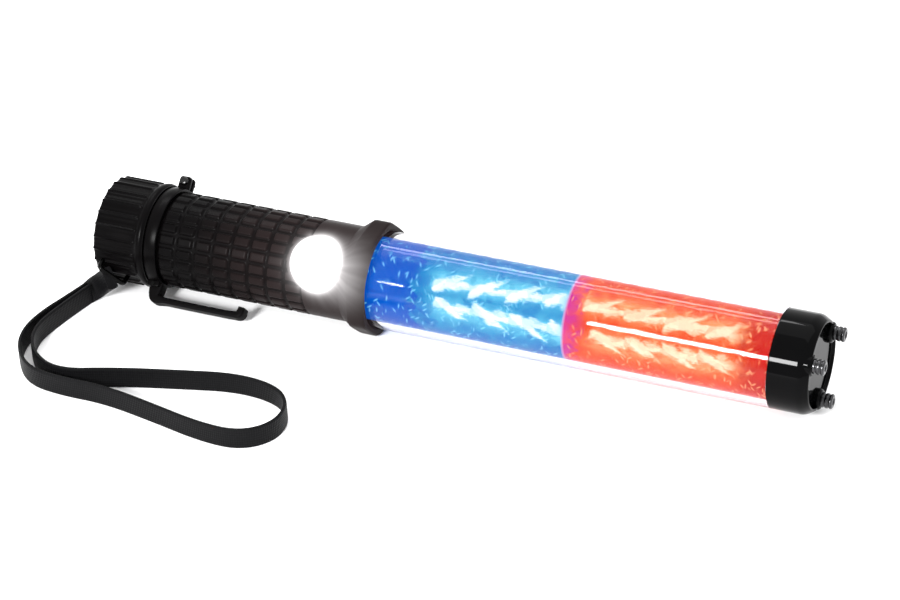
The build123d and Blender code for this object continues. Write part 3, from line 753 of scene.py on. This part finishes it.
# ------------------------------------------------------------------ tail cap
def make_tail_cap():
    """Radius over the side is a panel with a thin ridge between each two; it falls off round
    the back rim, and a smooth bead stands in front of the panels."""
    panel_count = 25
    columns = panel_count * 22
    turn = np.linspace(0, 2 * np.pi, columns, endpoint=False)[None]
    panel_front = cap_front - 4.4 * MM
    corner = 1.5 * MM
    arc = np.linspace(0, np.pi / 2, 9)
    x = np.concatenate([cap_back + corner * (1 - np.sin(arc[::-1])),
                        np.linspace(cap_back + corner + 0.4 * MM, cap_front, 44)])[:, None]
    drop = corner - np.sqrt(np.clip(corner ** 2 - np.clip(cap_back + corner - x, 0, None) ** 2,
                                    0, None))
    phase = (turn * panel_count / (2 * np.pi)) % 1.0 - 0.5
    ridge = np.exp(-(phase / 0.085) ** 2)
    hollow = np.cos(phase * 2 * np.pi) ** 2 * 0.16 * MM
    in_panels = 1 - smooth_step(x, panel_front - 0.6 * MM, panel_front)
    bead_middle = cap_front - 2.0 * MM
    bead = 1.15 * MM * np.sqrt(np.clip(1 - ((x - bead_middle) / (1.5 * MM)) ** 2, 0, 1))
    side = (cap_radius - 0.85 * MM + in_panels * (ridge * 0.78 * MM - hollow)
            + bead * (1 - in_panels) * 0.7)
    grid = rings(x, side - drop, turn)
    flat = rings(cap_back + 0 * turn, side[:1] - corner * 1.05, turn)
    dish_radii = np.array([[16.5], [15.9], [6.0], [0.0]]) * MM
    dish_depths = np.array([[0.0], [0.35], [0.35], [0.35]]) * MM
    dish = rings(cap_back + dish_depths, dish_radii, turn)
    inner_lip = rings(cap_front, np.array([[18.7]]) * MM, turn)
    inner_wall = rings(cap_back + 2.4 * MM, np.array([[18.7], [0.0]]) * MM, turn)
    skin = Skin("ribbed_cap")
    skin.patch(np.concatenate([dish[::-1], flat, grid, inner_lip, inner_wall]), wrap=True)
    cap = skin.make(50.0)
    grip_plastic("cap_plastic", glow=False, roughness=0.30).give(cap)
    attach(cap, "tail_cap")
    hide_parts("tail_cap")


# ------------------------------------------------------------------ handle
def make_grip():
    """Radius is a core plus rows of rounded pads; a pad's height rises over a rounded
    rectangle's edge distance.  The pads stop round the side light and the button, where the
    surface drops into their pockets."""
    rows_round = 24
    columns = rows_round * 16
    pad_pitch = 8.2 * MM
    pad_columns = 8
    turn = np.linspace(0, 2 * np.pi, columns, endpoint=False)[None]
    x = np.linspace(grip_back, flare_back, 236)[:, None]
    pads_front = grip_back + pad_columns * pad_pitch
    along = ((x - grip_back) / pad_pitch % 1.0 - 0.5) * pad_pitch
    row_angle = 2 * np.pi / rows_round
    around = (((turn - light_angle) / row_angle) % 1.0 - 0.5) * row_angle * grip_radius
    corner = 0.9 * MM
    reach_x = np.abs(along) - (pad_pitch / 2 - 0.55 * MM - corner)
    reach_y = np.abs(around) - (row_angle * grip_radius / 2 - 0.5 * MM - corner)
    outside = np.hypot(np.clip(reach_x, 0, None), np.clip(reach_y, 0, None))
    inside = np.minimum(np.maximum(reach_x, reach_y), 0)
    edge = corner - outside - inside
    pad = smooth_step(edge, 0.0, 0.75 * MM)
    light_gap = np.hypot((x - light_x), angle_gap(turn, light_angle) * grip_radius)
    button_gap = np.hypot((x - light_x), angle_gap(turn, button_angle) * grip_radius)
    calm = smooth_step(light_gap, 12.6 * MM, 13.2 * MM) * smooth_step(button_gap, 9.0 * MM,
                                                                     9.6 * MM)
    in_grid = (x < pads_front) * calm
    core = grip_radius - 0.85 * MM
    plain = grip_radius - 0.05 * MM
    radius = np.where(in_grid > 0.5, core + 0.85 * MM * pad, plain)
    radius = np.where(light_gap < 9.6 * MM, 10.5 * MM, radius)
    radius = np.where(button_gap < 7.0 * MM, 10.5 * MM, radius)
    radius = radius - 0.3 * MM * (1 - smooth_step(x, grip_back, grip_back + 0.5 * MM))
    seat_back = ring_back - 0.2 * MM
    low_x = ends("handle_body")[0]
    neck = [(low_x, 16.8), (low_x, 18.1), (low_x + 0.4 * MM, 18.5)]
    thread_start = low_x + 4.0 * MM
    thread_end = seat_back - 1.6 * MM
    thread = [(thread_start + share * (thread_end - thread_start),
               18.15 + 0.33 * math.cos(share * 2 * math.pi * 4.5)) for share in
              np.linspace(0, 1, 64)]
    neck += thread + [(seat_back, 18.5), (seat_back, 18.95), (grip_back, 18.95)]
    neck = np.array(neck)
    neck_rings = rings(neck[:, :1], neck[:, 1:] * MM, turn)
    bore = rings(np.array([[flare_back], [flare_back], [low_x]]),
                 np.array([[19.0], [8.8], [8.8]]) * MM, turn)
    grid = np.concatenate([neck_rings, rings(x, radius, turn), bore, neck_rings[:1]])
    # the pad height goes into the UV, where the material uses it to paint the side light's warm
    # cast dimmer between pads
    relief = np.zeros(grid.shape[:2])
    relief[len(neck):len(neck) + len(x)] = np.where(in_grid > 0.5, pad, 1.0)
    skin = Skin("padded_grip")
    skin.patch(grid, wrap=True, uv=np.stack([relief, relief * 0], axis=-1))
    grip = skin.make(50.0)
    grip_plastic(relief=True).give(grip)
    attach(grip, "handle")
    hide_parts("handle_body")


def angle_gap(turn, angle):
    """Smallest signed angle from a direction."""
    return (turn - angle + np.pi) % (2 * np.pi) - np.pi


# ------------------------------------------------------------------ clip ring, hook and clamp
def make_clip_ring():
    """A rounded rectangle turned round the axis, with two rounded blocks for the clamp's ears
    and two that hold the hook."""
    turn = np.linspace(0, 2 * np.pi, 256, endpoint=False)[None]
    outer = 21.2 * MM
    bore = 19.15 * MM
    outline = rounded([(ring_back + 0.4 * MM, bore), (ring_back, bore + 0.4 * MM),
                       (ring_back, outer - 0.5 * MM), ((ring_back + ring_front) / 2, outer),
                       (ring_front, outer - 0.5 * MM), (ring_front, bore + 0.4 * MM),
                       (ring_front - 0.4 * MM, bore)], 1.2 * MM)
    closed = np.concatenate([outline, outline[:1]])
    skin = Skin("turning_ring")
    skin.patch(rings(closed[:, :1], closed[:, 1:], turn), wrap=True)
    middle = (ring_back + ring_front) / 2
    axes = [(1, 0, 0), tangent_direction(clamp_angle), out_direction(clamp_angle)]
    for side in (-1, 1):
        place = on_axis(middle, clamp_angle, 22.9 * MM) + np.array(axes[1]) * side * 1.8 * MM
        skin.patch(block_shell(place, axes, np.array([2.65, 1.2, 3.3]) * MM), wrap=True)
    axes = [(1, 0, 0), tangent_direction(hook_angle), out_direction(hook_angle)]
    for side in (-1, 1):
        place = on_axis(middle, hook_angle, 21.1 * MM) + np.array(axes[1]) * side * 3.85 * MM
        skin.patch(block_shell(place, axes, np.array([2.68, 0.75, 1.6]) * MM), wrap=True)
    ring = skin.make(45.0)
    grip_plastic("ring_plastic", glow=False, roughness=0.3).give(ring)
    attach(ring, "clip")
    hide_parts("clip_ring")


def make_belt_hook():
    """A rounded strip carried along the hook's middle line: its thickness falls from the leg
    to the arm and swells again at the turned-up tip."""
    low, high = ends("belt_hook")
    arm = 27.3
    leg = (low + 3.1 * MM) / MM
    tip = (high - 1.7 * MM) / MM
    corners = [(leg + 0.2, 20.6), (leg, 24.0), (leg + 0.6, arm - 0.2), (leg + 9.0, arm),
               (tip - 5.0, arm), (tip, arm - 0.4), (tip + 0.1, 23.6)]
    line = rounded(corners, 4.5, steps=14) * MM
    run = np.concatenate([[0], np.cumsum(np.linalg.norm(np.diff(line, axis=0), axis=1))])
    even = np.linspace(0, run[-1], 90)
    x = np.interp(even, run, line[:, 0])
    out = np.interp(even, run, line[:, 1])
    ahead = np.stack([np.gradient(x), np.gradient(out)], axis=1)
    ahead /= np.linalg.norm(ahead, axis=1)[:, None]
    normal = np.stack([-ahead[:, 1], ahead[:, 0]], axis=1)
    share = even / run[-1]
    half = (3.0 - 1.7 * smooth_step(share, 0.02, 0.26) + 0.35 * smooth_step(share, 0.86, 0.95)
            - 0.25 * smooth_step(share, 0.95, 1.0)) * MM
    turn = np.linspace(0, 2 * np.pi, 32, endpoint=False)
    deep = np.sign(np.cos(turn)) * np.abs(np.cos(turn)) ** 0.45
    wide = np.sign(np.sin(turn)) * np.abs(np.sin(turn)) ** 0.3
    flat_x = x[:, None] + normal[:, :1] * half[:, None] * deep
    flat_out = out[:, None] + normal[:, 1:] * half[:, None] * deep
    grid = (np.array([0, 0, axis_z]) + flat_x[..., None] * np.array([1.0, 0, 0])
            + flat_out[..., None] * out_direction(hook_angle)
            + (wide * 2.95 * MM)[None, :, None] * tangent_direction(hook_angle))
    caps = [np.repeat(grid[at:at + 1].mean(axis=1, keepdims=True), len(turn), axis=1)
            for at in (0, len(grid) - 1)]
    skin = Skin("belt_hook_strip")
    skin.patch(np.concatenate([caps[0], grid, caps[1]]), wrap=True)
    hook = skin.make(50.0)
    grip_plastic("hook_plastic", glow=False, roughness=0.45).give(hook)
    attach(hook, "clip")
    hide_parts("belt_hook")


def make_clamp():
    """The clamp screw's domed head and shank, and its nut, turned round the screw's line."""
    middle = (ring_back + ring_front) / 2
    axis_place = on_axis(middle, clamp_angle, 23.9 * MM)
    line = tangent_direction(clamp_angle)
    head = rounded([(-4.6, 0.0), (-4.6, 1.0), (-4.2, 1.85), (-3.0, 1.9), (-3.0, 1.0),
                    (4.6, 1.0), (4.7, 0.0)], 0.3) * MM
    screw = Skin("domed_screw").patch(turned(axis_place, line, head, 40), wrap=True).make()
    nut_outline = np.array([(3.0, 0.0), (3.0, 1.7), (3.15, 2.15), (4.35, 2.15), (4.5, 1.7),
                            (4.5, 0.0)]) * MM
    nut = Skin("clamp_hex_nut").patch(turned(axis_place, line, nut_outline, 6), wrap=True).make(20)
    for piece, node in ((screw, "clamp_screw"), (nut, "clamp_nut")):
        steel(node + "_steel", (0.012, 0.012, 0.012), (0.05, 0.05, 0.05)).give(piece)
        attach(piece, "clip")
        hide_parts(node)


# ------------------------------------------------------------------ side light and button
def saddle_ring(x_centre, angle, radii, tops):
    """Rings round a line that leaves the axis: each ring's radius and its height from the axis,
    where a height of None rests on the round of the grip."""
    turn = np.linspace(0, 2 * np.pi, 96, endpoint=False)
    rows = []
    for radius, top in zip(radii, tops):
        along = np.cos(turn) * radius
        aside = np.sin(turn) * radius
        rest = np.sqrt(np.clip((grip_radius + 0.02 * MM) ** 2 - aside ** 2, 0, None))
        height = rest if top is None else np.full_like(turn, top)
        rows.append(on_axis(x_centre) + along[:, None] * np.array([1.0, 0, 0])
                    + aside[:, None] * tangent_direction(angle)
                    + height[:, None] * out_direction(angle))
    return np.stack(rows)


def make_side_light():
    """A bezel of saddle rings that rests on the grip, and a window turned from a quarter
    ellipse."""
    top = 22.15 * MM
    radii = np.array([8.3, 8.3, 8.8, 9.5, 10.2, 10.7, 10.7, 9.3]) * MM
    tops = [21.0 * MM, 21.8 * MM, top - 0.1 * MM, top, top - 0.25 * MM, top - 0.9 * MM, None,
            16.6 * MM]
    bezel = Skin("light_bezel").patch(saddle_ring(light_x, light_angle, [*radii, radii[0]],
                                                  [*tops, tops[0]]), wrap=True).make(50.0)
    grip_plastic("bezel_plastic", roughness=0.3).give(bezel)
    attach(bezel, "handle")
    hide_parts("side_light_bezel")

    place = on_axis(light_x)
    line = out_direction(light_angle)
    dome = [(19.3, 0.0), (19.3, 8.95), (20.7, 9.0)]
    dome += [(20.7 + 1.2 * math.cos(share * math.pi / 2), 8.3 * math.sin(share * math.pi / 2))
             for share in np.linspace(0.96, 0.0, 16)]
    lens = Skin("light_window").patch(turned(place, line, np.array(dome) * MM, 96),
                                      wrap=True).make(50.0)
    paint = Paint("lit_window")
    distance = light_offsets(paint)[2]
    rim = distance.step(9.6, 8.4)
    glow = paint.mix(rim, (0.93, 0.93, 0.96), (1.0, 1.0, 1.0))
    facet = paint.noise(scale=700.0, detail=2.0)
    paint.set("Base Color", (0.9, 0.9, 0.92))
    paint.set("Roughness", facet * 0.1 + 0.08)
    paint.set("Emission Color", glow)
    paint.set("Emission Strength", 2.2)
    paint.give(lens)
    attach(lens, "handle")
    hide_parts("side_light_lens")


def make_button():
    """A domed rubber cap and the thin collar round it, both turned round the button's line."""
    place = on_axis(light_x)
    line = out_direction(button_angle)
    cap_outline = rounded([(14.8, 0.0), (14.8, 6.0), (20.4, 6.0), (21.0, 5.0), (21.15, 2.6),
                           (20.7, 0.0)], 0.5) * MM
    button = Skin("push_button").patch(turned(place, line, cap_outline, 72), wrap=True).make(50)
    rubber().give(button)
    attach(button, "button")
    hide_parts("mode_button")
    collar_outline = rounded([(16.3, 6.4), (16.3, 7.3), (20.1, 7.3), (20.4, 6.9), (20.3, 6.4),
                              (16.3, 6.4)], 0.25) * MM
    surround = Skin("button_surround").patch(turned(place, line, collar_outline, 72),
                                             wrap=True).make(50)
    grip_plastic("surround_plastic", glow=False).give(surround)
    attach(surround, "handle")
    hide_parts("button_collar")


# ------------------------------------------------------------------ collar and tube
def eight_sided(turn, flat):
    """Radius of an octagon with soft corners: a power mean over its eight side directions."""
    sharpness = 24.0
    sides = np.arange(8) * np.pi / 4
    total = sum(np.clip(np.cos(turn - side), 0, None) ** sharpness for side in sides)
    level = sum(max(math.cos(side), 0) ** sharpness for side in sides)
    return flat * (total / level) ** (-1 / sharpness)


def make_collar():
    """Radius goes from the grip's round to a soft octagon by the profile's share of it."""
    turn = np.linspace(0, 2 * np.pi, 384, endpoint=False)[None]
    eight = eight_sided(turn, axis_z)
    inner = tube_radius + 0.1 * MM
    profile = rounded([(flare_back, 0.0), (flare_back + 0.4 * MM, 0.03),
                       (collar_back + 2.0 * MM, 0.97), (collar_back + 3.0 * MM, 1.0),
                       (0.0, 1.0), (collar_front - 0.9 * MM, 1.0),
                       (collar_front, 0.85), (collar_front, 0.2)], 1.1 * MM, steps=7)
    start = grip_radius - 0.02 * MM
    radius = start + (eight - start) * profile[:, 1:]
    body = rings(profile[:, :1], radius, turn)
    mouth = rings(np.array([[collar_front], [collar_front - 0.5 * MM], [tube_back]]),
                  np.array([[inner + 0.5 * MM], [inner], [inner]]), turn)
    back = rings(np.array([[tube_back], [-12.0 * MM], [-12.0 * MM], [flare_back]]),
                 np.array([[9.0], [9.0], [16.6], [16.6]]) * MM, turn)
    skin = Skin("octagon_collar")
    skin.patch(np.concatenate([body, mouth, back, body[:1]]), wrap=True)
    collar = skin.make(40.0)
    grip_plastic("collar_plastic", roughness=0.4).give(collar)
    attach(collar, "handle")
    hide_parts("collar")


def make_tube():
    """A plain clear tube, and inside it two foil sleeves whose radius ripples by a product of
    one sine along the axis and one round it."""
    turn = np.linspace(0, 2 * np.pi, 224, endpoint=False)[None]
    outer = tube_radius
    inner = 17.3 * MM
    x = np.array([[tube_back], [tube_front], [tube_front], [tube_back], [tube_back]])
    radius = np.array([[outer], [outer], [inner], [inner], [outer]])
    tube = Skin("clear_outer_tube").patch(rings(x, radius, turn), wrap=True).make(40.0)
    clear_plastic().give(tube)
    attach(tube, "handle")
    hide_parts("signal_tube")

    radius_mm = 17.0
    # Each row of lobes: start, end and pitch along the tube, its line round the tube, its
    # slope and the side its lobes point to, in millimetres.
    blue_rows = [(31.5, 90.0, 15.4, 0.6, 0.045, 1.0), (33.0, 90.0, 16.2, -3.4, -0.02, -1.0)]
    red_rows = [(94.0, 160.0, 17.2, 3.0, 0.0, 1.0), (99.0, 160.0, 15.0, -4.4, 0.0, -1.0)]
    # Each zone: where its tint starts and is full, the tint and its weight.
    near_collar = (26.0, 22.0, (0.0, 0.085, 0.55), 0.88)
    near_seam = (97.0, 87.0, (0.62, 0.03, 0.36), 0.8)
    near_end_cap = (153.0, 168.0, (0.60, 0.0, 0.0), 0.95)
    blue = lit_foil("blue_foil", radius_mm, blue_rows, deep=(0.0, 0.11, 0.52),
                    bright=(0.03, 0.40, 0.66), glow=(0.22, 0.76, 0.95), hot=(1.0, 1.05, 1.1),
                    zones=[near_collar])
    red = lit_foil("red_foil", radius_mm, red_rows, deep=(0.80, 0.03, 0.006),
                   bright=(1.0, 0.13, 0.02), glow=(1.0, 0.42, 0.18), hot=(1.2, 0.90, 0.62),
                   zones=[near_seam, near_end_cap])
    for name, node, slot, low, high, paint in (
            ("blue_foil_sleeve", "blue_liner", "blue_plastic", tube_back, colour_change, blue),
            ("red_foil_sleeve", "red_liner", "red_plastic", colour_change, tube_front, red)):
        x = np.linspace(low, high, 60)[:, None]
        wall = radius_mm * MM + 0.1 * MM * np.sin(x / MM * 0.9) * np.sin(turn * 9)
        inside = np.full_like(turn, 16.4 * MM)
        grid = np.concatenate([rings(x, wall, turn), rings(high, inside, turn),
                               rings(low, inside, turn), rings(x[:1], wall[:1], turn)])
        liner = Skin(name).patch(grid, wrap=True).make(50.0)
        paint.give(liner)
        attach(liner, "handle")
        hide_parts(node)


# ------------------------------------------------------------------ end cap and studs
stud_circle = 15.2 * MM
stud_angles = [math.radians(34.0 - 120.0 * count) for count in range(3)]


def make_end_cap():
    """A rounded outline with a recessed face, turned round the axis, and a boss under each
    stud."""
    turn = np.linspace(0, 2 * np.pi, 256, endpoint=False)[None]
    outer = tube_radius
    outline = rounded([(face_back, 16.2 * MM), (tube_front, 16.2 * MM), (tube_front, outer),
                       (tube_front + 0.9 * MM, outer), (face_front - 3.2 * MM, outer),
                       (face_front, outer - 2.0 * MM), (face_front, outer - 3.2 * MM),
                       (face_front - 1.4 * MM, outer - 3.6 * MM),
                       (face_front - 1.4 * MM, 8.0 * MM), (face_front - 1.4 * MM, 0.0)],
                      1.6 * MM, steps=7)
    inside = np.array([(face_back, 0.0), (face_back, 14.2 * MM)])
    outline = np.concatenate([inside, outline])
    skin = Skin("gloss_end_cap")
    skin.patch(rings(outline[:, :1], outline[:, 1:], turn), wrap=True)
    for angle in stud_angles:
        boss = rounded([(-3.0, 0.0), (-3.0, 4.3), (-0.2, 4.3), (0.6, 3.6), (0.6, 0.0)], 0.5) * MM
        place = on_axis(face_front, angle, stud_circle)
        skin.patch(turned(place, (1, 0, 0), boss, 48, across=(0, 1, 0)), wrap=True)
    cap = skin.make(40.0)
    gloss_black().give(cap)
    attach(cap, "handle")
    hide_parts("end_cap")


def make_studs():
    """Three hard steel studs, each turned with two shallow grooves and a hollow in its tip."""
    outline = rounded([(-5.0, 0.0), (-5.0, 2.4), (0.5, 2.4), (0.5, 3.0), (1.5, 3.0), (1.7, 2.65),
                       (2.1, 2.65), (2.3, 3.0), (3.3, 3.0), (3.5, 2.65), (3.9, 2.65),
                       (4.1, 3.0), (4.8, 3.0), (5.2, 2.4), (5.2, 1.5), (4.5, 1.2),
                       (4.4, 0.0)], 0.2, steps=4) * MM
    skin = Skin("turned_studs")
    for angle in stud_angles:
        place = on_axis(face_front, angle, stud_circle)
        skin.patch(turned(place, (1, 0, 0), outline, 56, across=(0, 1, 0)), wrap=True)
    studs = skin.make(35.0)
    steel().give(studs)
    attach(studs, "handle")
    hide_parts("breaker_studs")


# ------------------------------------------------------------------ pieces inside
def finish_inner_pieces():
    """The nodes that keep their own shape get a finish by what they are made of."""
    finishes = {
        "steel": inner_material("inner_steel", (0.4, 0.4, 0.41), (0.62, 0.62, 0.63), 0.25, 1.0),
        "brass": inner_material("contact_brass", (0.6, 0.44, 0.18), (0.8, 0.6, 0.28), 0.25, 1.0),
        "rubber": rubber("seal_rubber"),
        "inner_plastic": inner_material("inner_plastic", (0.02, 0.02, 0.022),
                                        (0.05, 0.05, 0.054), 0.45),
        "board_laminate": inner_material("board_laminate", (0.62, 0.65, 0.62),
                                         (0.78, 0.8, 0.77), 0.4),
        "lamp_blue": inner_material("lamp_blue", (0.1, 0.4, 1.0), (0.3, 0.6, 1.0), 0.2,
                                    emission=1.0),
        "lamp_red": inner_material("lamp_red", (1.0, 0.12, 0.05), (1.0, 0.3, 0.12), 0.2,
                                   emission=1.0),
        "lamp_white": inner_material("lamp_white", (1.0, 0.97, 0.9), (1.0, 1.0, 1.0), 0.2,
                                     emission=1.5),
        "reflector_metal": inner_material("reflector_metal", (0.82, 0.83, 0.84),
                                          (0.9, 0.9, 0.91), 0.06, 1.0),
        "heat_sink_aluminium": inner_material("sink_aluminium", (0.6, 0.61, 0.62),
                                              (0.72, 0.73, 0.74), 0.3, 1.0),
        "cell_wrap": inner_material("cell_wrap", (0.05, 0.05, 0.055), (0.1, 0.1, 0.11), 0.22),
    }
    oxide = steel("black_oxide_steel", (0.004, 0.004, 0.004), (0.012, 0.012, 0.012))
    hidden = {"handle_body", "tail_cap", "clip_ring", "belt_hook", "collar", "end_cap",
              "side_light_bezel", "signal_tube", "side_light_lens", "blue_liner", "red_liner",
              "breaker_studs", "clamp_screw", "clamp_nut", "mode_button", "button_collar",
              "wrist_strap", "strap_sleeve"}
    for row in frame["record"]["subparts"]:
        if row["node"] in hidden:
            continue
        finish = oxide if row["node"] in ("strap_bail", "hook_rivet") else (
            finishes[row["material_slot"]])
        finish.give(frame["nodes"][row["node"]])


# ------------------------------------------------------------------ build
make_camera()
make_strap()
make_studio()
make_tail_cap()
make_grip()
make_clip_ring()
make_belt_hook()
make_clamp()
make_side_light()
make_button()
make_collar()
make_tube()
make_end_cap()
make_studs()
finish_inner_pieces()
